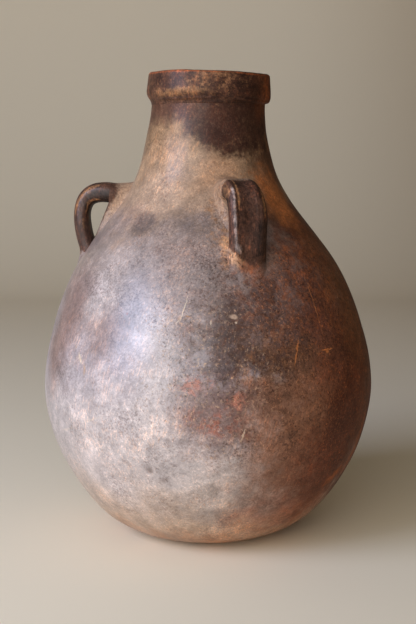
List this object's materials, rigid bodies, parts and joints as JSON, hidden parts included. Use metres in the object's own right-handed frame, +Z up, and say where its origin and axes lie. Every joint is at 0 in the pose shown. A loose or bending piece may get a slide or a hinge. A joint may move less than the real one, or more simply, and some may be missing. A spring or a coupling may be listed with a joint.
{
  "type": "olla water jar",
  "caption": "Hand-built round-bellied clay jar with a narrow neck, a thick collar at the mouth and small strap handles on the shoulder for a carrying rope.",
  "frame": {"origin": "middle of the flat that the jar stands on", "axes": "+Z up along the jar's axis, -Y towards the front, the side that the picture shows, and +X to the right of it"},
  "size_m": [0.2464, 0.2464, 0.342],
  "materials": {
    "burnished_earthenware": "burnished, mottled by the firing",
    "smoked_earthenware": "burnished, darkened by smoke, worn at the edges"
  },
  "bodies": {
    "root": {"base_pad": "burnished_earthenware", "bowl_wall": "burnished_earthenware", "lower_belly_wall": "burnished_earthenware", "middle_belly_wall": "burnished_earthenware", "upper_belly_wall": "burnished_earthenware", "lower_shoulder_wall": "burnished_earthenware", "upper_shoulder_wall": "burnished_earthenware", "neck_wall": "burnished_earthenware", "front_handle_upper_root": "burnished_earthenware", "front_handle_lower_root": "burnished_earthenware", "left_handle_upper_root": "burnished_earthenware", "left_handle_lower_root": "burnished_earthenware", "rear_handle_upper_root": "burnished_earthenware", "rear_handle_lower_root": "burnished_earthenware", "rim_collar": "smoked_earthenware", "front_handle_strap": "smoked_earthenware", "left_handle_strap": "smoked_earthenware", "rear_handle_strap": "smoked_earthenware"}
  },
  "joints": []
}
